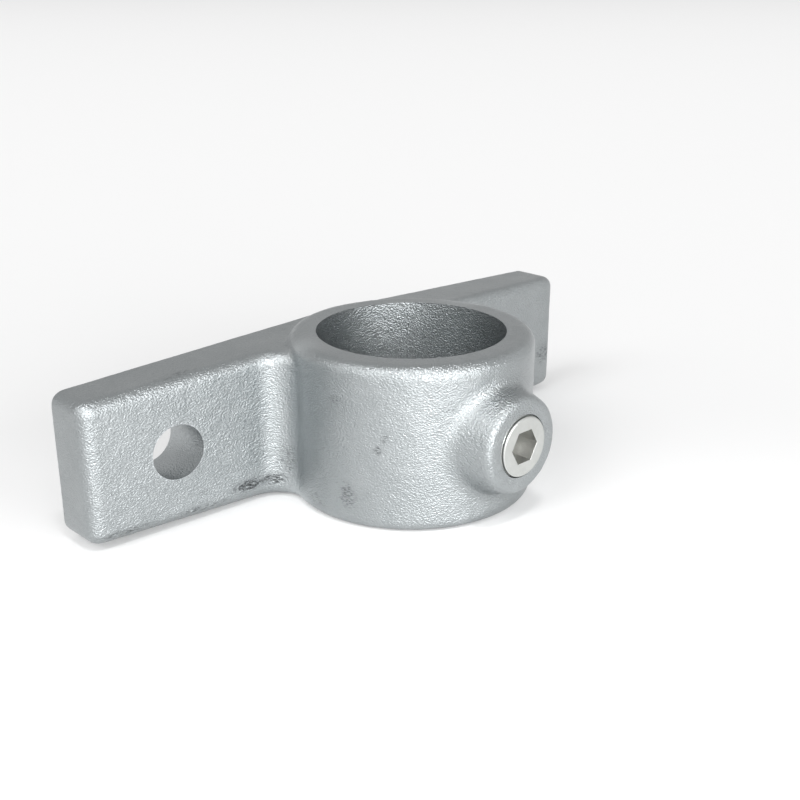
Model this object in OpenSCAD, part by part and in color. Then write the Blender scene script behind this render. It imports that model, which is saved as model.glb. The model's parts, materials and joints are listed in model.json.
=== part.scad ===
/* [Bore] */
// Nominal diameter that the clamp grips
grip_d = 48.3; // [40:0.1:56]
// Clearance of the bore over the nominal diameter, on the radius
bore_gap = 0.4; // [0.3:0.05:0.8]

/* [Collar] */
// Wall of the collar round the bore
collar_wall = 7.35; // [6:0.05:10]
// Height of the collar along the bore
collar_h = 42.5; // [42:0.5:56]
// Rounding of the collar's upper outer edge
collar_top_round = 3; // [1:0.1:4]
// Rounding of the collar's lower outer edge
collar_foot_round = 2; // [1:0.1:4]

/* [Lugs] */
// Distance between the centres of the two lug holes
hole_span = 120; // [105:1:150]
// Diameter of each lug hole
hole_d = 14; // [9:0.5:16]
// Distance from a lug hole's centre to the end of its lug
lug_end = 24.3; // [18:0.1:34]
// Height of a lug at its end
lug_end_h = 36; // [28:0.5:37]
// How much higher the lugs' upper edge is at the middle than at the ends
lug_top_rise = 3.1; // [0.5:0.1:4]
// How much the lugs' lower edge rises from the middle of the clamp to the ends
lug_foot_rise = 2.1; // [0.5:0.1:4]
// How far the lug ends' lower edge lies above the collar's lower face
lug_end_clear = 1.45; // [0.5:0.05:4]
// Step from the collar's lower face up to the flat under the lugs beside it
lug_foot_step = 0.2; // [0.1:0.1:0.4]
// How far a lug hole lies above the middle of its lug's end
hole_lift = 0.4; // [-2:0.1:2]
// Thickness of a lug at its end
lug_end_t = 13; // [9:0.1:14.5]
// Thickness of a lug where it leaves the collar
lug_root_t = 15.8; // [14:0.1:18]
// Metal between the bore and the flat back
back_wall = 8.6; // [7:0.1:11]
// Rounding of the front and end edges of the lugs
lug_round = 3; // [1.5:0.1:4]
// How much larger the rounding of the upright edges at the lug ends is
lug_corner_extra = 0.5; // [0.3:0.1:4]
// Radius of the fillet between the front of a lug and the collar
web_fillet = 7; // [4:0.1:10]

/* [Boss] */
// How far the boss stands out from the collar
boss_proud = 6.7; // [4:0.1:10]
// Radius at which the boss's side would meet its face without the rounding
boss_face_r = 12.1; // [11:0.1:15]
// Draft of the boss's side, in degrees
boss_draft = 15; // [3:0.5:20]
// Rounding of the edge of the boss's face
boss_round = 1.3; // [0.6:0.1:2.5]
// Width of the fillet between the boss and the collar
boss_fillet = 1.6; // [1:0.1:3]

/* [Set screw] */
// Outside diameter of the set screw
screw_d = 16; // [12:0.5:18]
// Clearance between the set screw and its hole, on the radius
screw_gap = 0.05; // [0.02:0.01:0.1]
// How far the set screw stands out of the boss's face
screw_proud = 0.5; // [0:0.1:2]
// Distance from the set screw's tip to the bore's wall
tip_gap = 0.05; // [0.05:0.05:1]
// Length of the lead-in at the set screw's outer end
screw_lead = 1.2; // [0.4:0.1:2]
// How much the lead-in takes off the set screw's radius
screw_lead_in = 0.4; // [0.2:0.05:0.8]
// Width across flats of the hexagon socket
socket_af = 8; // [5:0.5:9]
// Depth of the hexagon socket
socket_depth = 8; // [5:0.5:9]
// Turn of the hexagon socket about the screw's axis
socket_turn = 0; // [0:1:59]
// Diameter of the cup point
cup_d = 10; // [7:0.5:11]
// Depth of the hollow in the cup point
cup_depth = 2; // [1:0.1:2.5]

/* [Hidden] */
$fn = 128;
eps = 0.01;
over = 2;
round_fn = 32;

casting_color = [0.64, 0.67, 0.68];
screw_color = [0.80, 0.81, 0.79];

// Bore, collar and back, measured from the bore's axis
bore_r = grip_d / 2 + bore_gap;
collar_r = bore_r + collar_wall;
back_y = bore_r + back_wall;

// Lugs: ends, edges and front faces
lug_end_x = hole_span / 2 + lug_end;
lug_end_low = -collar_h / 2 + lug_end_clear;
lug_end_high = lug_end_low + lug_end_h;
lug_foot_z = -collar_h / 2 + lug_foot_step;
hole_z = (lug_end_low + lug_end_high) / 2 + hole_lift;
front_root_y = back_y - lug_root_t;
front_end_y = back_y - lug_end_t;
front_slope = atan((front_end_y - front_root_y) / (lug_end_x - collar_r));
corner_r = lug_round + lug_corner_extra;
corner_centre = [lug_end_x - corner_r,
    front_end_y + corner_r / cos(front_slope) - corner_r * tan(front_slope)];
round_steps = 8;

// The web fillet's centre lies one fillet radius in front of the lug and just
// less than one outside the collar, so that the fillet runs into the collar
web_sink = 0.15;
front_along = [cos(front_slope), sin(front_slope)];
front_out = [sin(front_slope), -cos(front_slope)];
web_start = [collar_r, front_root_y] + web_fillet * front_out;
web_far = collar_r + web_fillet - web_sink;
web_b = web_start * front_along;
web_c = web_start * web_start - web_far * web_far;
web_centre = web_start + (sqrt(web_b * web_b - web_c) - web_b) * front_along;
web_from = 90 + front_slope;
web_to = 180 + atan2(web_centre[1], web_centre[0]);
web_steps = 12;

// Boss and threaded hole, along -Y
boss_y = collar_r + boss_proud;
boss_inner_y = bore_r + collar_wall / 4;
boss_length = boss_y - boss_inner_y;
boss_base_r = boss_face_r + boss_length * tan(boss_draft);
screw_r = screw_d / 2;
screw_hole_r = screw_r + screw_gap;
screw_face_y = boss_y + screw_proud;
screw_tip_y = bore_r + tip_gap;
screw_l = screw_face_y - screw_tip_y;
socket_r = socket_af / 2 / cos(30);

// Points of an arc in the plane
function arc(centre, r, from, to, steps) =
    [for (i = [0:steps]) let (a = from + (to - from) * i / steps)
        centre + r * [cos(a), sin(a)]];

// Outline of the collar's section, with its outer edges rounded
function collar_section() = concat(
    [[0, -collar_h / 2]],
    arc([collar_r - collar_foot_round, -collar_h / 2 + collar_foot_round],
        collar_foot_round, -90, 0, 12),
    arc([collar_r - collar_top_round, collar_h / 2 - collar_top_round],
        collar_top_round, 0, 90, 12),
    [[0, collar_h / 2]]);

// Right half of the lugs' outline seen along the bore, drawn in by inset at its
// front and end: back, end corner, front, web fillet, and a point in the bore
function half_outline(inset) = concat(
    [[0, back_y], [lug_end_x - inset, back_y]],
    arc(corner_centre, corner_r - inset, 0, front_slope - 90, round_steps),
    arc(web_centre, web_fillet + inset, web_from, web_to, web_steps),
    [[0, bore_r / 2]]);

function mirrored(points) =
    [for (i = [len(points) - 2:-1:1]) [-points[i][0], points[i][1]]];

// Heights of the lugs' lower and upper edges at a distance x from the middle
function low_at(x) = lug_end_low - lug_foot_rise * (1 - abs(x) / lug_end_x);
function high_at(x) = lug_end_high + lug_top_rise * (1 - abs(x) / lug_end_x);

// One level of the rounded lugs: turn goes from 0 at the upright faces to 90 at
// the lower face (side -1) or the upper face (side 1)
function level(side, turn) =
    let (half = half_outline(lug_round * (1 - cos(turn))),
         drop = lug_round * (1 - sin(turn)))
    [for (p = concat(half, mirrored(half)))
        [p[0], p[1], side < 0 ? low_at(p[0]) + drop : high_at(p[0]) - drop]];

// Turns something made along +Z so that it lies along -Y
module along_screw() {
    rotate([90, 0, 0]) children();
}

module collar() {
    rotate_extrude() polygon(collar_section());
}

// Solid through a stack of levels that have equally many points. Its two end
// faces are folded at the middle, where the first half of the points ends.
module loft(levels, half) {
    n = len(levels[0]);
    last = n * (len(levels) - 1);
    polyhedron(
        points = [for (l = levels) each l],
        faces = concat(
            [for (k = [0:len(levels) - 2]) for (i = [0:n - 1]) let (j = (i + 1) % n)
                [n * k + i, n * k + j, n * (k + 1) + j, n * (k + 1) + i]],
            [concat([0], [for (i = [half - 1:-1:1]) i]), [for (i = [n:-1:half - 1]) i % n]],
            [[for (i = [0:half - 1]) last + i],
             concat([last], [for (i = [half - 1:n - 1]) last + i])]));
}

// Both lugs and the flat back as one bar, flat below beside the collar
module lug_bar() {
    turns = [for (i = [0:round_steps]) 90 * i / round_steps];
    difference() {
        loft(concat([for (i = [round_steps:-1:0]) level(-1, turns[i])],
                    [for (i = [0:round_steps]) level(1, turns[i])]),
             len(half_outline(0)));
        translate([-lug_end_x, -collar_r, lug_foot_z - collar_h])
            cube([2 * lug_end_x, collar_r + back_y + over, collar_h]);
    }
}

// Boss with draft and a rounded face edge
module boss() {
    along_screw() translate([0, 0, boss_inner_y]) rotate_extrude() polygon(concat(
        [[0, 0], [boss_base_r, 0]],
        arc([boss_face_r - boss_round * (1 - sin(boss_draft)) / cos(boss_draft),
             boss_length - boss_round], boss_round, boss_draft, 90, 10),
        [[0, boss_length]]));
}

// The boss grown sideways by wider, as far out as a shell that stands out from
// the collar by proud
module boss_step(wider, proud) {
    intersection() {
        along_screw() translate([0, 0, boss_inner_y])
            cylinder(r1 = boss_base_r + wider, r2 = boss_face_r + wider, h = boss_length,
                $fn = 2 * round_fn);
        cylinder(r = collar_r + proud, h = 4 * boss_base_r, center = true, $fn = 3 * round_fn);
    }
}

// Fillet round the foot of the boss, in steps that follow the curved collar. It
// lies a little deeper than the two surfaces that it joins, so that it cuts them.
module boss_skirt() {
    steps = 3;
    sink = 0.06;
    at = [for (i = [0:steps]) let (a = 90 * i / steps)
        boss_fillet * [1 - sin(a), 1 - cos(a)] - [sink, sink]];
    for (i = [0:steps - 1])
        hull() {
            boss_step(at[i][0], at[i][1]);
            boss_step(at[i + 1][0], at[i + 1][1]);
        }
}

// Threaded hole through the boss into the bore
module screw_hole() {
    along_screw()
        translate([0, 0, bore_r / 2])
            cylinder(r = screw_hole_r, h = boss_y - bore_r / 2 + over);
}

module lug_holes() {
    for (side = [-1, 1])
        translate([side * hole_span / 2, 0, hole_z])
            rotate([-90, 0, 0])
                cylinder(d = hole_d, h = back_y + over);
}

module clamp_casting() {
    color(casting_color) difference() {
        union() {
            collar();
            lug_bar();
            boss();
            boss_skirt();
        }
        cylinder(r = bore_r, h = collar_h + 2 * over, center = true);
        screw_hole();
        lug_holes();
    }
}

// Set screw with a hexagon socket outside and a cup point inside
module set_screw() {
    point_l = screw_r - cup_d / 2;
    color(screw_color) along_screw() translate([0, 0, screw_tip_y]) difference() {
        rotate_extrude() polygon([
            [0, 0], [cup_d / 2, 0], [screw_r, point_l],
            [screw_r, screw_l - screw_lead],
            [screw_r - screw_lead_in, screw_l], [0, screw_l]]);
        translate([0, 0, screw_l - socket_depth]) rotate([0, 0, socket_turn])
            cylinder(r = socket_r, h = socket_depth + over, $fn = 6);
        translate([0, 0, -eps])
            cylinder(r1 = cup_d / 2 - 0.5, r2 = 0, h = cup_depth);
    }
}

clamp_casting();
set_screw();
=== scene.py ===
"""Looks of the double lug tube clamp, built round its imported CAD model. Lengths are in metres."""

import json
import math

import bmesh
import bpy
import numpy as np
from mathutils import Euler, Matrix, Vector, noise
from mathutils.bvhtree import BVHTree


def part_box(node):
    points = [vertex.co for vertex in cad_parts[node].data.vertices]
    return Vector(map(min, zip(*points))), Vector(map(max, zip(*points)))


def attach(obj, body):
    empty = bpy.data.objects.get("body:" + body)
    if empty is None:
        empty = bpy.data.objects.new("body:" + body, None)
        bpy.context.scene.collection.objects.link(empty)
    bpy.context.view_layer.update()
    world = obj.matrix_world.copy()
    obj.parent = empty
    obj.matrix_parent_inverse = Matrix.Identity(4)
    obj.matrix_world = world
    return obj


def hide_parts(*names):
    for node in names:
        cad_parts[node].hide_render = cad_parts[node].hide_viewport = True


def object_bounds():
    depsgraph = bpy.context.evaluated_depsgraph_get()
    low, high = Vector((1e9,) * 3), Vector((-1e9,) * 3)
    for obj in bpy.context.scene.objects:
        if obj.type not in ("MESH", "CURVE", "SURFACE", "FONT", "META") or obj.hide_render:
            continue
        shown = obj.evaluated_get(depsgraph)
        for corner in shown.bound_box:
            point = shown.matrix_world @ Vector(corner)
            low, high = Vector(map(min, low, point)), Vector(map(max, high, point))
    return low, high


MM = 0.001

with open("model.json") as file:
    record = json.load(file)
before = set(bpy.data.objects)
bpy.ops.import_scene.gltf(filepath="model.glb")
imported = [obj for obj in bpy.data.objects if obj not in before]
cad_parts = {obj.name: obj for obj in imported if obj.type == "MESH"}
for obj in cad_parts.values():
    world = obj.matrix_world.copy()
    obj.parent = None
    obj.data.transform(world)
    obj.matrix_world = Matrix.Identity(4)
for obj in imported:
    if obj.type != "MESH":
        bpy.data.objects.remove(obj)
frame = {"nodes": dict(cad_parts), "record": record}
cad_low, cad_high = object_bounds()
mounts = {m["name"]: m for m in frame["record"]["mounts"]}

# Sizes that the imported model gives
bore_r = mounts["tube_bore"]["dims"]["r_mm"] * MM
collar_h = mounts["tube_bore"]["dims"]["length_mm"] * MM
lug_hole_r = mounts["lug_holes"]["dims"]["hole_r_mm"] * MM
lug_hole_x = mounts["lug_holes"]["dims"]["spacing_x_mm"] * MM / 2
lug_hole_z = mounts["lug_holes"]["pos_m"][2]
back_y = mounts["lug_holes"]["pos_m"][1]
screw_low, screw_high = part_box("set_screw")
screw_r = screw_high.x
screw_tip_y = screw_high.y
screw_face_y = screw_low.y
floor_z = cad_low.z

# Sizes that match the part's source
SCREW_GAP = 0.05 * MM
SCREW_PROUD = 0.5 * MM
SCREW_LEAD_IN = 0.4 * MM
SOCKET_AF = 8 * MM
SOCKET_DEPTH = 8 * MM
CUP_R = 5 * MM
CUP_DEPTH = 2 * MM
screw_hole_r = screw_r + SCREW_GAP
boss_face_y = screw_face_y + SCREW_PROUD

# The set screw's outer end: the slanted edge of its face, and how far behind the face it widens
FACE_EDGE = 0.38 * MM
FACE_EDGE_DEPTH = 0.45 * FACE_EDGE
SCREW_SHOULDER = 0.75 * MM

# The socket's softened mouth and the cone at its bottom
SOCKET_SOFT = 0.04 * MM
SOCKET_CONE_AF = 0.2 * SOCKET_AF
SOCKET_CONE_DEPTH = 1.2 * MM
# Limits of the socket's paler colour, which is painted bounce light, just outside its corners and its bottom
SOCKET_BOUNCE_LIGHT_R = 0.6 * SOCKET_AF
SOCKET_BOUNCE_LIGHT_DEPTH = 1.2 * SOCKET_DEPTH

# The cup point: its slanted rim, and the flat in its middle
CUP_RIM = 0.5 * MM
CUP_FLAT_R = 0.4 * MM
CUP_FLAT_DEPTH = 0.9 * CUP_DEPTH

# Metric coarse thread of the set screw. It starts behind the face and gets deeper until it is full.
THREAD_PITCH = 2 * MM
THREAD_DEPTH = 1.05 * MM
THREAD_START = 1.2 * MM
THREAD_FADE = 1 * MM
THREAD_STEPS = 10
# How steeply the flank falls in one pitch, and how much of that the flat crest takes off
FLANK_SLOPE = 2.4
FLANK_CREST = 0.2

# The groove in the boss that the thread runs in. It starts behind the boss's face in the same way.
GROOVE_DEPTH = 0.6 * MM
GROOVE_START = 0.4 * MM
GROOVE_FADE = 1.6 * MM
# The screw's hole ends a little way inside the bore
screw_hole_end_y = -bore_r + 1 * MM

# The casting's skin: voxels turned away from its long edges, then smoothed
VOXEL = 0.62 * MM
VOXEL_TURN = Euler((0.61, 0.43, 0.29))
SMOOTH_FACTOR = 0.5
SMOOTH_PASSES = 8
BACK_SPARE = 3 * MM
BACK_TOLERANCE = 0.01 * MM

# Unevenness of the cast skin: the size and depth of its broad waves, and of its peel, which is finer along Z
BROAD_SIZE = 9 * MM
BROAD_DEPTH = 0.05 * MM
PEEL_SIZE = 2.2 * MM
PEEL_DEPTH = 0.04 * MM
PEEL_FINER_Z = 1.5
PEEL_OFFSET = Vector((7, 3, 5))

# Plugs that fill the holes while the skin is made, and cutters that open them again
PLUG_MARGIN = 0.4 * MM
PLUG_SEGMENTS = 64
RAY_START_Y = -0.1
CUT_OVER = 3 * MM
CUT_SEGMENTS = 96
BORE_SEGMENTS = 192
RIM_POINT_GAP = 0.002 * MM

# Edges sharper than these are shaded crisp
CASTING_EDGE_ANGLE = math.radians(38)
SCREW_EDGE_ANGLE = math.radians(18)

# Places of dark casting marks: centre and reach in millimetres along X, Y and Z, and strength
MARKS = [
    ((-40.5, 17.7, -16.0), (4.5, 2.5, 1.5), 1.0), ((-34.0, 16.6, -15.9), (3.5, 3.0, 1.6), 0.9),
    ((-53.9, 18.5, -13.8), (1.2, 2.0, 0.8), 0.5), ((-55.5, 18.7, -18.0), (7.0, 2.5, 0.9), 0.6),
    ((-76.1, 19.8, -17.6), (7.0, 2.5, 0.8), 0.6), ((-57.6, 21.8, 17.1), (4.5, 1.4, 1.5), 0.4),
    ((-31.4, -5.8, 11.4), (1.5, 2.0, 1.0), 0.5), ((-26.4, -17.9, 3.4), (1.0, 1.0, 1.0), 0.75),
    ((-27.4, -16.3, 0.1), (1.0, 1.0, 1.2), 0.75), ((-30.6, -9.0, -13.2), (2.0, 2.2, 3.0), 0.65),
    ((-31.9, 1.3, -17.1), (2.0, 2.5, 1.5), 0.4), ((-30.9, 13.4, -10.0), (2.5, 2.5, 4.5), 0.5),
    ((79.5, 19.9, -8.3), (4.0, 2.0, 3.0), 0.6), ((22.0, -23.0, -18.5), (5.0, 5.0, 2.0), 0.5),
    ((62.0, 33.0, 12.0), (5.0, 2.0, 2.0), 0.6), ((-20.0, 33.0, -9.0), (6.0, 2.0, 2.5), 0.6),
]
# A mark has faded out at this many times its reach
MARK_END = 1.6

# The boss's side lies between these distances from the screw's axis, in front of a place along Y
BOSS_INNER_R = 11 * MM
BOSS_INNER_FADE = 1.5 * MM
BOSS_OUTER_R = 16.5 * MM
BOSS_OUTER_FADE = 1 * MM
BOSS_FOOT_Y = -25 * MM

# A drilled wall reaches a little past the hole's own radius. Its paler zinc is partly the wall's own metal
# and partly painted bounce light inside the hole.
DRILLED_MARGIN = 0.1 * MM
DRILLED_FADE = 0.05 * MM

# The upright corner where a lug's fillet meets the collar, with painted bounce light round it: paler zinc
# that stands in for light reflected between the fillet and the collar
CREASE_X = 30.5 * MM
CREASE_Y = 10.0 * MM
CREASE_CORE = 1 * MM
CREASE_FADE = 8 * MM
CREASE_POWER = 1.5

# Colours of the zinc and of the screw's plating
ZINC = (0.365, 0.388, 0.396, 1)
ZINC_PALE = (0.395, 0.418, 0.426, 1)
ZINC_VALLEY = (0.16, 0.172, 0.178, 1)
# The drilled walls' paler zinc: partly their own metal, partly painted bounce light inside the lug holes
ZINC_DRILLED_AND_BOUNCE_LIGHT = (0.46, 0.485, 0.495, 1)
# Painted bounce light: paler zinc round the crease that stands in for light reflected between the lug's
# fillet and the collar
ZINC_CREASE_BOUNCE_LIGHT = (0.55, 0.58, 0.59, 1)
MARK_COLOUR = (0.04, 0.043, 0.045, 1)
PLATING = (0.55, 0.562, 0.545, 1)
PLATING_PALE = (0.595, 0.608, 0.59, 1)
# Paler plating inside the socket: painted bounce light
PLATING_SOCKET_BOUNCE_LIGHT = (0.64, 0.642, 0.622, 1)

# Stage: pale floor, even world and soft lamps
WORLD_LEVEL = 0.61
FLOOR_REACH = 30
FLOOR_ALBEDO = 0.75
FLOOR_GLOW = 0.16
FLOOR_ROUGHNESS = 0.9
# Each lamp's name, compass angle, angle above the horizon, width as the part sees it, and brightness.
# The angles and widths are in degrees.
LAMPS = [
    ("front", -115, 14, 26, 7.1), ("front_right", -85, 14, 26, 5.4), ("front_left", -145, 14, 26, 2.3),
    ("left", -178, 45, 26, 3.9), ("back_left", 168, 24, 26, 1.4), ("right", -20, 26, 36, 0.4),
]
# The lamps are so far off that the floor is evenly lit
LAMP_DISTANCE = 20

# A soft pool of light on the floor in front of the part, which its upright faces reflect. Its level is how
# bright a white floor is at the throw, the distance that the lamp's power is worked out for.
POOL_PLACE = Vector((-105 * MM, -140 * MM, floor_z))
POOL_LAMP_OFFSET = Vector((-0.045, -0.11, 0.62))
POOL_THROW = 0.65
POOL_LEVEL = 0.77
POOL_ANGLE = math.radians(32)
POOL_BLEND = 0.8
POOL_LAMP_R = 0.08

# Camera at the photograph's viewing angle, with its lens
CAMERA_PLACE = Vector((-197.93, -200.77, 107.38)) * MM
CAMERA_AIM = Vector((0.6503, 0.6734, -0.3515))
CAMERA_SENSOR = 36
CAMERA_LENS = 51.43
CAMERA_CLIP_START = 0.01


def held(value):
    """The value, held between 0 and 1."""
    return min(1.0, max(0.0, value))


def new_object(name, verts, faces):
    """A mesh object from points and faces."""
    mesh = bpy.data.meshes.new(name)
    mesh.from_pydata([tuple(v) for v in verts], [], faces)
    mesh.update()
    obj = bpy.data.objects.new(name, mesh)
    bpy.context.scene.collection.objects.link(obj)
    return obj


def apply_modifiers(obj):
    """Puts what the object's modifiers make into its mesh."""
    graph = bpy.context.evaluated_depsgraph_get()
    graph.update()
    made = bpy.data.meshes.new_from_object(obj.evaluated_get(graph))
    obj.modifiers.clear()
    old = obj.data
    obj.data = made
    bpy.data.meshes.remove(old)


def shade(obj, angle):
    """Smooth shading, with edges sharper than the angle kept crisp."""
    obj.data.shade_smooth()
    obj.data.set_sharp_from_angle(angle=angle)


def mesh_points(mesh):
    """The mesh's points, one to a row."""
    points = np.zeros(len(mesh.vertices) * 3)
    mesh.vertices.foreach_get("co", points)
    return points.reshape(-1, 3)


def set_attribute(mesh, name, values):
    """Gives each point of the mesh a number that a material can read."""
    attribute = mesh.attributes.new(name, "FLOAT", "POINT")
    attribute.data.foreach_set("value", values.astype(np.float32))


def ring_faces(rings, count):
    """Quads between rings of count points each."""
    faces = []
    for k in range(rings - 1):
        for i in range(count):
            j = (i + 1) % count
            a, b = k * count, (k + 1) * count
            faces.append((a + i, a + j, b + j, b + i))
    return faces


def lofted(name, rings):
    """A closed solid through rings of equally many points, with its faces outwards."""
    count = len(rings[0])
    verts = [p for ring in rings for p in ring]
    faces = ring_faces(len(rings), count)
    first_mid = len(verts)
    verts.append(sum((Vector(p) for p in rings[0]), Vector()) / count)
    verts.append(sum((Vector(p) for p in rings[-1]), Vector()) / count)
    last = (len(rings) - 1) * count
    for i in range(count):
        j = (i + 1) % count
        faces.append((first_mid, j, i))
        faces.append((first_mid + 1, last + i, last + j))
    obj = new_object(name, verts, faces)
    bm = bmesh.new()
    bm.from_mesh(obj.data)
    bmesh.ops.recalc_face_normals(bm, faces=bm.faces)
    bm.to_mesh(obj.data)
    bm.free()
    return obj


def circle(radius, segments, place):
    """Points round a circle, each put in space by place(across, up)."""
    turns = [2 * math.pi * i / segments for i in range(segments)]
    return [place(radius * math.cos(a), radius * math.sin(a)) for a in turns]


def along_y(x, z, profile, segments, name):
    """A solid of revolution about a line along Y, from (y, radius) pairs."""
    return lofted(name, [circle(r, segments, lambda a, b, y=y: (x + a, y, z + b)) for y, r in profile])


def along_z(profile, segments, name):
    """A solid of revolution about Z, from (z, radius) pairs."""
    return lofted(name, [circle(r, segments, lambda a, b, z=z: (a, b, z)) for z, r in profile])


def thread_flank(turn, y):
    """How far down the thread's flank (0 crest, 1 root) a share of a turn and a place along Y are."""
    phase = (y / THREAD_PITCH - turn) % 1.0
    return held(abs(phase - 0.5) * FLANK_SLOPE - FLANK_CREST)


def threaded_ring(y, radius_at):
    """A ring round the screw's axis whose radius follows radius_at(share of a turn)."""
    ring = []
    for i in range(CUT_SEGMENTS):
        turn = i / CUT_SEGMENTS
        r = radius_at(turn)
        ring.append((r * math.cos(2 * math.pi * turn), y, r * math.sin(2 * math.pi * turn)))
    return ring


def hole_plugs(source):
    """Solids that fill the casting's holes flush with its faces, so that smoothing spares their edges."""
    bm = bmesh.new()
    bm.from_mesh(source)
    tree = BVHTree.FromBMesh(bm)
    bm.free()
    bore_plug_r = bore_r + PLUG_MARGIN
    screw_plug_r = screw_hole_r + PLUG_MARGIN
    lug_plug_r = lug_hole_r + PLUG_MARGIN
    bore_span = [(-collar_h / 2, bore_plug_r), (collar_h / 2, bore_plug_r)]
    screw_span = [(boss_face_y, screw_plug_r), (screw_hole_end_y, screw_plug_r)]
    plugs = [
        along_z(bore_span, PLUG_SEGMENTS, "bore_plug"),
        along_y(0, 0, screw_span, PLUG_SEGMENTS, "screw_plug"),
    ]
    for side in (-1, 1):
        def front(a, b):
            start = Vector((side * lug_hole_x + a, RAY_START_Y, lug_hole_z + b))
            return tree.ray_cast(start, Vector((0, 1, 0)))[0]

        def back(a, b):
            return side * lug_hole_x + a, back_y + BACK_SPARE, lug_hole_z + b

        rings = [circle(lug_plug_r, PLUG_SEGMENTS, front), circle(lug_plug_r, PLUG_SEGMENTS, back)]
        plugs.append(lofted("lug_plug", rings))
    return plugs


def screw_cutter():
    """The set screw's hole with its thread groove, which fades out just inside the boss's face."""
    start_y = boss_face_y + GROOVE_START
    rings = [threaded_ring(boss_face_y - CUT_OVER, lambda turn: screw_hole_r)]
    steps = round((screw_hole_end_y - start_y) / THREAD_PITCH * THREAD_STEPS)
    for k in range(steps + 1):
        y = start_y + k * THREAD_PITCH / THREAD_STEPS
        depth = GROOVE_DEPTH * held((y - start_y) / GROOVE_FADE)
        rings.append(threaded_ring(y, lambda turn: screw_hole_r + depth * (1 - thread_flank(turn, y))))
    rings.append(threaded_ring(-bore_r / 2, lambda turn: screw_hole_r))
    return lofted("screw_cutter", rings)


def casting_cutters():
    """Solids that cut the back flat and open the bore, the screw's hole and the lug holes."""
    far_x, far_z = cad_high.x + CUT_OVER, cad_high.z + CUT_OVER
    far_y = back_y + BACK_SPARE + CUT_OVER
    corners = ((-1, -1), (1, -1), (1, 1), (-1, 1))
    bore_end = collar_h / 2 + CUT_OVER
    cutters = [
        lofted("back_cutter", [[(x * far_x, y, z * far_z) for x, z in corners] for y in (back_y, far_y)]),
        along_z([(-bore_end, bore_r), (bore_end, bore_r)], BORE_SEGMENTS, "bore_cutter"),
        screw_cutter(),
    ]
    for side in (-1, 1):
        span = [(-CUT_OVER, lug_hole_r), (far_y, lug_hole_r)]
        cutters.append(along_y(side * lug_hole_x, lug_hole_z, span, CUT_SEGMENTS, "lug_cutter"))
    return cutters


def clean_rims(obj):
    """Takes out points that the cuts leave midway along an edge, where two triangles would coincide."""
    bm = bmesh.new()
    bm.from_mesh(obj.data)
    bmesh.ops.dissolve_degenerate(bm, dist=RIM_POINT_GAP, edges=bm.edges)
    bmesh.ops.dissolve_verts(bm, verts=[v for v in bm.verts if len(v.link_edges) == 2])
    bm.to_mesh(obj.data)
    bm.free()


def cast_relief(points):
    """How far each point of the cast skin stands above the nominal surface, which is never positive."""
    height = np.zeros(len(points))
    for i, p in enumerate(points):
        broad = noise.noise(Vector(p) / BROAD_SIZE)
        peel = noise.noise(Vector((p[0], p[1], p[2] * PEEL_FINER_Z)) / PEEL_SIZE + PEEL_OFFSET)
        height[i] = BROAD_DEPTH * broad + PEEL_DEPTH * peel
    return height - height.max()


def surface_masks(points):
    """How far each point has dark marks, lies on the boss's side, lies on a drilled wall, which is partly
    painted bounce light, and gets painted bounce light round the crease.
    """
    marks = np.zeros(len(points))
    for centre, reach, strength in MARKS:
        away = np.linalg.norm((points - np.array(centre) * MM) / (np.array(reach) * MM), axis=1)
        marks = np.maximum(marks, strength * np.clip(MARK_END - away, 0, 1))
    from_axis = np.linalg.norm(points[:, [0, 2]], axis=1)
    boss = np.clip((from_axis - BOSS_INNER_R) / BOSS_INNER_FADE, 0, 1)
    boss *= np.clip((BOSS_OUTER_R - from_axis) / BOSS_OUTER_FADE, 0, 1)
    boss *= points[:, 1] < BOSS_FOOT_Y
    from_hole = np.hypot(np.abs(points[:, 0]) - lug_hole_x, points[:, 2] - lug_hole_z)
    # The drilled walls of the lug holes, painted paler: partly their own metal, partly painted bounce light
    drilled = np.clip((lug_hole_r + DRILLED_MARGIN - from_hole) / DRILLED_FADE, 0, 1) * (points[:, 1] > 0)
    # Painted bounce light round the crease, strongest at its core and fading out
    from_crease = np.hypot(np.abs(points[:, 0]) - CREASE_X, points[:, 1] - CREASE_Y)
    crease_bounce_light = np.clip(1 - (from_crease - CREASE_CORE) / CREASE_FADE, 0, 1) ** CREASE_POWER
    return {"marks": marks, "boss": boss, "drilled": drilled, "crease_bounce_light": crease_bounce_light}


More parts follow.
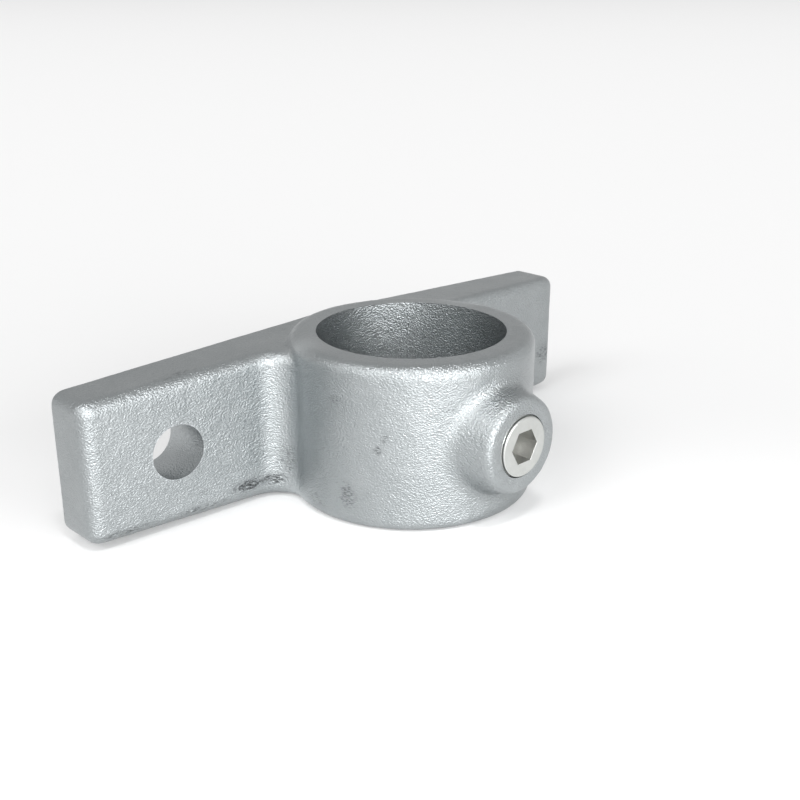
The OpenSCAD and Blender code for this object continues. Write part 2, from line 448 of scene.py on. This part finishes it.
def casting_piece():
    """The casting with softened inner corners and a cast skin, and clean drilled holes."""
    node = frame["nodes"]["clamp_casting"]
    skin = bpy.data.objects.new("clamp_casting_skin", node.data.copy())
    bpy.context.scene.collection.objects.link(skin)
    # The back is made thicker here and cut flat below, so that its edges stay straight
    for v in skin.data.vertices:
        if v.co.y > back_y - BACK_TOLERANCE:
            v.co.y += BACK_SPARE
    plugs = hole_plugs(node.data)
    bpy.ops.object.select_all(action="DESELECT")
    for obj in (*plugs, skin):
        obj.select_set(True)
    bpy.context.view_layer.objects.active = skin
    bpy.ops.object.join()

    turn = VOXEL_TURN.to_matrix().to_4x4()
    skin.data.transform(turn)
    remesh = skin.modifiers.new("remesh", "REMESH")
    remesh.mode = "VOXEL"
    remesh.voxel_size = VOXEL
    remesh.use_smooth_shade = True
    smooth = skin.modifiers.new("smooth", "SMOOTH")
    smooth.factor = SMOOTH_FACTOR
    smooth.iterations = SMOOTH_PASSES
    apply_modifiers(skin)
    skin.data.transform(turn.inverted())

    mesh = skin.data
    points = mesh_points(mesh)
    normals = np.zeros(len(mesh.vertices) * 3)
    mesh.vertex_normals.foreach_get("vector", normals)
    points += normals.reshape(-1, 3) * cast_relief(points)[:, None]
    mesh.vertices.foreach_set("co", points.ravel())
    mesh.update()

    for cutter in casting_cutters():
        cut = skin.modifiers.new("cut", "BOOLEAN")
        cut.operation = "DIFFERENCE"
        cut.solver = "EXACT"
        cut.object = cutter
        apply_modifiers(skin)
        bpy.data.objects.remove(cutter)
    clean_rims(skin)

    for name, values in surface_masks(mesh_points(skin.data)).items():
        set_attribute(skin.data, name, values)
    skin.data.materials.clear()
    shade(skin, CASTING_EDGE_ANGLE)
    return skin


def screw_piece():
    """The set screw, with its thread, lead-in, hexagon socket and cup point."""
    length = screw_tip_y - screw_face_y
    face_r = screw_r - SCREW_LEAD_IN
    rings = []

    def hexagon(y, af):
        def radius_at(turn):
            return af / 2 / math.cos(2 * math.pi * (turn % (1 / 6)) - math.pi / 6)
        rings.append(threaded_ring(y, radius_at))

    def ring(y, radius):
        rings.append(threaded_ring(y, lambda turn: radius))

    hexagon(screw_face_y + SOCKET_DEPTH + SOCKET_CONE_DEPTH, SOCKET_CONE_AF)
    hexagon(screw_face_y + SOCKET_DEPTH, SOCKET_AF)
    hexagon(screw_face_y + SOCKET_SOFT, SOCKET_AF)
    hexagon(screw_face_y, SOCKET_AF + 2 * SOCKET_SOFT)
    ring(screw_face_y, face_r - FACE_EDGE)
    ring(screw_face_y + FACE_EDGE_DEPTH, face_r)
    steps = round(length / THREAD_PITCH * THREAD_STEPS)
    for k in range(1, steps + 1):
        t = FACE_EDGE + (length - FACE_EDGE) * k / steps
        y = screw_face_y + t
        widened = face_r + SCREW_LEAD_IN * held((t - SCREW_SHOULDER) / SCREW_LEAD_IN)
        room = min(widened, CUP_R + (length - t))
        depth = THREAD_DEPTH * held((t - THREAD_START) / THREAD_FADE)
        rings.append(threaded_ring(y, lambda turn: min(screw_r - depth * thread_flank(turn, y), room)))
    ring(screw_tip_y, CUP_R - CUP_RIM)
    ring(screw_tip_y - CUP_FLAT_DEPTH, CUP_FLAT_R)
    screw = lofted("set_screw_threaded", rings)

    points = mesh_points(screw.data)
    from_axis = np.linalg.norm(points[:, [0, 2]], axis=1)
    behind_face = points[:, 1] - screw_face_y
    # Points inside the socket, which get a paler colour as painted bounce light
    socket_bounce_light = from_axis < SOCKET_BOUNCE_LIGHT_R
    socket_bounce_light &= (behind_face > SOCKET_SOFT / 2) & (behind_face < SOCKET_BOUNCE_LIGHT_DEPTH)
    set_attribute(screw.data, "socket", socket_bounce_light)
    shade(screw, SCREW_EDGE_ANGLE)
    return screw


class Nodes:
    """Short calls that build a material's node tree."""

    def __init__(self, name):
        self.mat = bpy.data.materials.new(name)
        self.mat.use_nodes = True
        self.tree = self.mat.node_tree
        self.shader = self.tree.nodes["Principled BSDF"]

    def link(self, source, target):
        """Joins an output to an input."""
        self.tree.links.new(source, target)

    def feed(self, socket, value):
        """Sets a socket to a number or colour, or links it to another socket."""
        if isinstance(value, bpy.types.NodeSocket):
            self.link(value, socket)
        else:
            socket.default_value = value

    def place(self, scale=(1, 1, 1), turn=(0, 0, 0)):
        """Object coordinates, turned and scaled."""
        coords = self.tree.nodes.new("ShaderNodeTexCoord")
        mapping = self.tree.nodes.new("ShaderNodeMapping")
        mapping.inputs["Scale"].default_value = scale
        mapping.inputs["Rotation"].default_value = turn
        self.link(coords.outputs["Object"], mapping.inputs["Vector"])
        return mapping.outputs["Vector"]

    def noise(self, vector, size, detail=2, rough=0.5):
        """Noise whose features are about size across."""
        node = self.tree.nodes.new("ShaderNodeTexNoise")
        node.inputs["Scale"].default_value = 1 / size
        node.inputs["Detail"].default_value = detail
        node.inputs["Roughness"].default_value = rough
        self.link(vector, node.inputs["Vector"])
        return node.outputs["Fac"]

    def attribute(self, name):
        """The number that the mesh gives each point under this name."""
        node = self.tree.nodes.new("ShaderNodeAttribute")
        node.attribute_name = name
        return node.outputs["Fac"]

    def math(self, operation, *values):
        """A sum, product or other operation on numbers or sockets."""
        node = self.tree.nodes.new("ShaderNodeMath")
        node.operation = operation
        for socket, value in zip(node.inputs, values):
            self.feed(socket, value)
        return node.outputs[0]

    def ramp(self, value, low, high, out_low=0, out_high=1):
        """Maps low..high to out_low..out_high smoothly, held outside."""
        node = self.tree.nodes.new("ShaderNodeMapRange")
        node.interpolation_type = "SMOOTHSTEP"
        names = ("Value", "From Min", "From Max", "To Min", "To Max")
        for name, given in zip(names, (value, low, high, out_low, out_high)):
            self.feed(node.inputs[name], given)
        return node.outputs["Result"]

    def mix(self, factor, a, b):
        """A colour between a and b. The node's colour sockets are 6 and 7, and its colour output is 2."""
        node = self.tree.nodes.new("ShaderNodeMix")
        node.data_type = "RGBA"
        self.feed(node.inputs[0], factor)
        self.feed(node.inputs[6], a)
        self.feed(node.inputs[7], b)
        return node.outputs[2]

    def bump(self, height, distance, under=None):
        """A normal that shows the height, on top of another normal where one is given."""
        node = self.tree.nodes.new("ShaderNodeBump")
        node.inputs["Strength"].default_value = 1
        node.inputs["Distance"].default_value = distance
        self.link(height, node.inputs["Height"])
        if under is not None:
            self.link(under, node.inputs["Normal"])
        return node.outputs["Normal"]


def galvanised():
    """Hot-dip zinc over a grainy cast skin, with faint mottling, dark casting marks, paler drilled walls
    that are partly painted bounce light, and painted bounce light round the creases.
    """
    n = Nodes("galvanised_casting")
    n.shader.inputs["Metallic"].default_value = 1
    plain = n.place()
    # Broad lumps, fine grain in slightly flattened cells, and coarser pebbles on the boss's side
    flow = n.place(scale=(1, 1, 1.4), turn=(0, math.radians(20), 0))
    fine = n.noise(flow, 0.53 * MM, detail=2, rough=0.5)
    lumps = n.noise(plain, 3.2 * MM, detail=2)
    pebbles = n.math("MULTIPLY", n.noise(plain, 0.5 * MM, detail=1), n.attribute("boss"))
    normal = n.bump(lumps, 0.1 * MM)
    normal = n.bump(fine, 0.25 * MM, under=normal)
    normal = n.bump(pebbles, 0.15 * MM, under=normal)
    n.link(normal, n.shader.inputs["Normal"])

    # Clouds in the zinc, with the grain's valleys darker
    mottle = n.noise(plain, 7 * MM, detail=5, rough=0.6)
    zinc = n.mix(n.ramp(mottle, 0.3, 0.7), ZINC, ZINC_PALE)
    zinc = n.mix(n.ramp(fine, 0.25, 0.5, 0.15, 0), zinc, ZINC_VALLEY)
    # Paler drilled walls: partly their own metal, partly painted bounce light
    zinc = n.mix(n.attribute("drilled"), zinc, ZINC_DRILLED_AND_BOUNCE_LIGHT)
    # Painted bounce light: paler zinc round the crease
    zinc = n.mix(n.attribute("crease_bounce_light"), zinc, ZINC_CREASE_BOUNCE_LIGHT)
    # Level streaks of specks, which gather towards the middle of a mark
    specks = n.noise(n.place(scale=(0.5, 0.5, 1.6)), 0.6 * MM, detail=3, rough=0.7)
    near = n.attribute("marks")
    dark = n.ramp(n.math("ADD", specks, n.math("MULTIPLY", near, 0.14)), 0.48, 0.74)
    dark = n.math("MULTIPLY", dark, near)
    n.link(n.mix(dark, zinc, MARK_COLOUR), n.shader.inputs["Base Color"])
    rough = n.ramp(mottle, 0.3, 0.7, 0.32, 0.29)
    n.link(n.math("ADD", rough, n.math("MULTIPLY", dark, 0.35)), n.shader.inputs["Roughness"])
    return n.mat


def plated():
    """Pale satin plating, slightly cloudy and finely pitted, with painted bounce light inside the socket."""
    n = Nodes("plated_screw")
    n.shader.inputs["Metallic"].default_value = 1
    plain = n.place()
    cloud = n.noise(plain, 2.5 * MM, detail=4, rough=0.6)
    pale = n.mix(n.ramp(cloud, 0.3, 0.7), PLATING, PLATING_PALE)
    # Painted bounce light: a paler colour inside the socket
    n.link(n.mix(n.attribute("socket"), pale, PLATING_SOCKET_BOUNCE_LIGHT), n.shader.inputs["Base Color"])
    n.link(n.ramp(cloud, 0.3, 0.7, 0.42, 0.34), n.shader.inputs["Roughness"])
    n.link(n.bump(n.noise(plain, 0.5 * MM, detail=2), 0.03 * MM), n.shader.inputs["Normal"])
    return n.mat


def polar(azimuth, elevation, distance):
    """Place at a compass angle (0 is +X, 90 is +Y), an angle above the horizon and a distance."""
    a, e = math.radians(azimuth), math.radians(elevation)
    return Vector((math.cos(a) * math.cos(e), math.sin(a) * math.cos(e), math.sin(e))) * distance


def add_light(light, location, target):
    """Puts a light in the scene and turns it to its target."""
    obj = bpy.data.objects.new(light.name, light)
    bpy.context.scene.collection.objects.link(obj)
    obj.location = location
    obj.rotation_euler = (target - location).to_track_quat("-Z", "Y").to_euler()


def soft_light(name, azimuth, elevation, across, radiance):
    """A square lamp that looks at the part, across degrees wide from there."""
    side = 2 * LAMP_DISTANCE * math.tan(math.radians(across / 2))
    light = bpy.data.lights.new(name, "AREA")
    light.shape = "SQUARE"
    light.size = side
    light.energy = radiance * math.pi * side * side
    add_light(light, polar(azimuth, elevation, LAMP_DISTANCE), Vector())


def pool_light():
    """The spot lamp that makes the soft pool of light on the floor."""
    light = bpy.data.lights.new("pool", "SPOT")
    light.spot_size = POOL_ANGLE
    light.spot_blend = POOL_BLEND
    light.shadow_soft_size = POOL_LAMP_R
    light.energy = POOL_LEVEL * math.pi * 4 * math.pi * POOL_THROW ** 2
    add_light(light, POOL_PLACE + POOL_LAMP_OFFSET, POOL_PLACE)


def floor_material():
    """A matt floor that is white where it is seen directly or mirrored, and keeps the part's shadow."""
    n = Nodes("floor")
    n.shader.inputs["Base Color"].default_value = (FLOOR_ALBEDO, FLOOR_ALBEDO, FLOOR_ALBEDO, 1)
    n.shader.inputs["Roughness"].default_value = FLOOR_ROUGHNESS
    n.shader.inputs["Specular IOR Level"].default_value = 0
    light_path = n.tree.nodes.new("ShaderNodeLightPath")
    seen = n.math("MAXIMUM", light_path.outputs["Is Camera Ray"], light_path.outputs["Is Glossy Ray"])
    seen = n.math("MAXIMUM", seen, light_path.outputs["Is Transmission Ray"])
    n.shader.inputs["Emission Color"].default_value = (1, 1, 1, 1)
    n.link(n.math("MULTIPLY", seen, FLOOR_GLOW), n.shader.inputs["Emission Strength"])
    return n.mat


casting = casting_piece()
casting.data.materials.append(galvanised())
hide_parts("clamp_casting")
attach(casting, "casting")

screw = screw_piece()
screw.data.materials.append(plated())
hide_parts("set_screw")
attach(screw, "screw")

signs = ((-1, -1), (1, -1), (1, 1), (-1, 1))
floor = new_object("floor", [(x * FLOOR_REACH, y * FLOOR_REACH, floor_z) for x, y in signs], [(0, 1, 2, 3)])
floor.data.materials.append(floor_material())

world = bpy.data.worlds.new("world")
bpy.context.scene.world = world
world.use_nodes = True
background = world.node_tree.nodes["Background"]
background.inputs["Color"].default_value = (1, 1, 1, 1)
background.inputs["Strength"].default_value = WORLD_LEVEL
for lamp in LAMPS:
    soft_light(*lamp)
pool_light()

camera_data = bpy.data.cameras.new("camera")
camera_data.sensor_width = CAMERA_SENSOR
camera_data.lens = CAMERA_LENS
camera_data.clip_start = CAMERA_CLIP_START
camera = bpy.data.objects.new("camera", camera_data)
bpy.context.scene.collection.objects.link(camera)
camera.location = CAMERA_PLACE
camera.rotation_euler = CAMERA_AIM.to_track_quat("-Z", "Y").to_euler()
bpy.context.scene.camera = camera

bpy.context.scene.view_settings.view_transform = "Standard"
